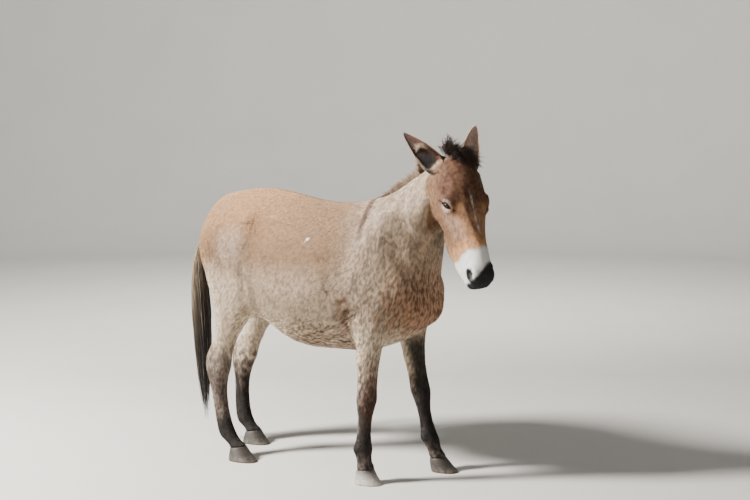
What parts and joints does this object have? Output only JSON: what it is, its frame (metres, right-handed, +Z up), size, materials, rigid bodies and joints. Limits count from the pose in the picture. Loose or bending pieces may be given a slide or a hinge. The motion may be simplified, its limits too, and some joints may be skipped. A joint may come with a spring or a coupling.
{
  "type": "life-size mule display model",
  "caption": "Life-size still model of a standing mule with long ears, short upright mane, turned head and hanging tail, resting on its hoof soles.",
  "frame": {"origin": "on the floor under the middle of the model's bounding box", "axes": "+X from tail to nose along the trunk, +Y towards the animal's left, +Z up; the four hoof soles stand on Z = 0"},
  "size_m": [1.8162, 0.5606, 1.5718],
  "materials": {
    "body_coat": "short dense animal coat, dun brown, matte",
    "face_coat": "very short animal coat, russet brown with a pale muzzle, matte",
    "ear_coat": "short animal coat, dark brown inside with a pale rim",
    "leg_coat": "short animal coat, dark brown to black, matte",
    "mane_hair": "coarse dark hair",
    "tail_hair": "coarse dark hair, greyer at the dock",
    "hoof_horn": "worn grey horn",
    "eye": "wet dark brown eye"
  },
  "bodies": {
    "root": {"torso": "body_coat", "neck": "body_coat", "head": "face_coat", "ear_left": "ear_coat", "ear_right": "ear_coat", "eye_left": "eye", "eye_right": "eye", "mane": "mane_hair", "forelock": "mane_hair", "tail": "tail_hair", "fore_left_forearm": "body_coat", "fore_left_knee": "leg_coat", "fore_left_cannon": "leg_coat", "fore_left_pastern": "leg_coat", "fore_left_hoof": "hoof_horn", "fore_right_forearm": "body_coat", "fore_right_knee": "leg_coat", "fore_right_cannon": "leg_coat", "fore_right_pastern": "leg_coat", "fore_right_hoof": "hoof_horn", "hind_left_gaskin": "body_coat", "hind_left_hock": "leg_coat", "hind_left_cannon": "leg_coat", "hind_left_pastern": "leg_coat", "hind_left_hoof": "hoof_horn", "hind_right_gaskin": "body_coat", "hind_right_hock": "leg_coat", "hind_right_cannon": "leg_coat", "hind_right_pastern": "leg_coat", "hind_right_hoof": "hoof_horn"}
  },
  "joints": []
}
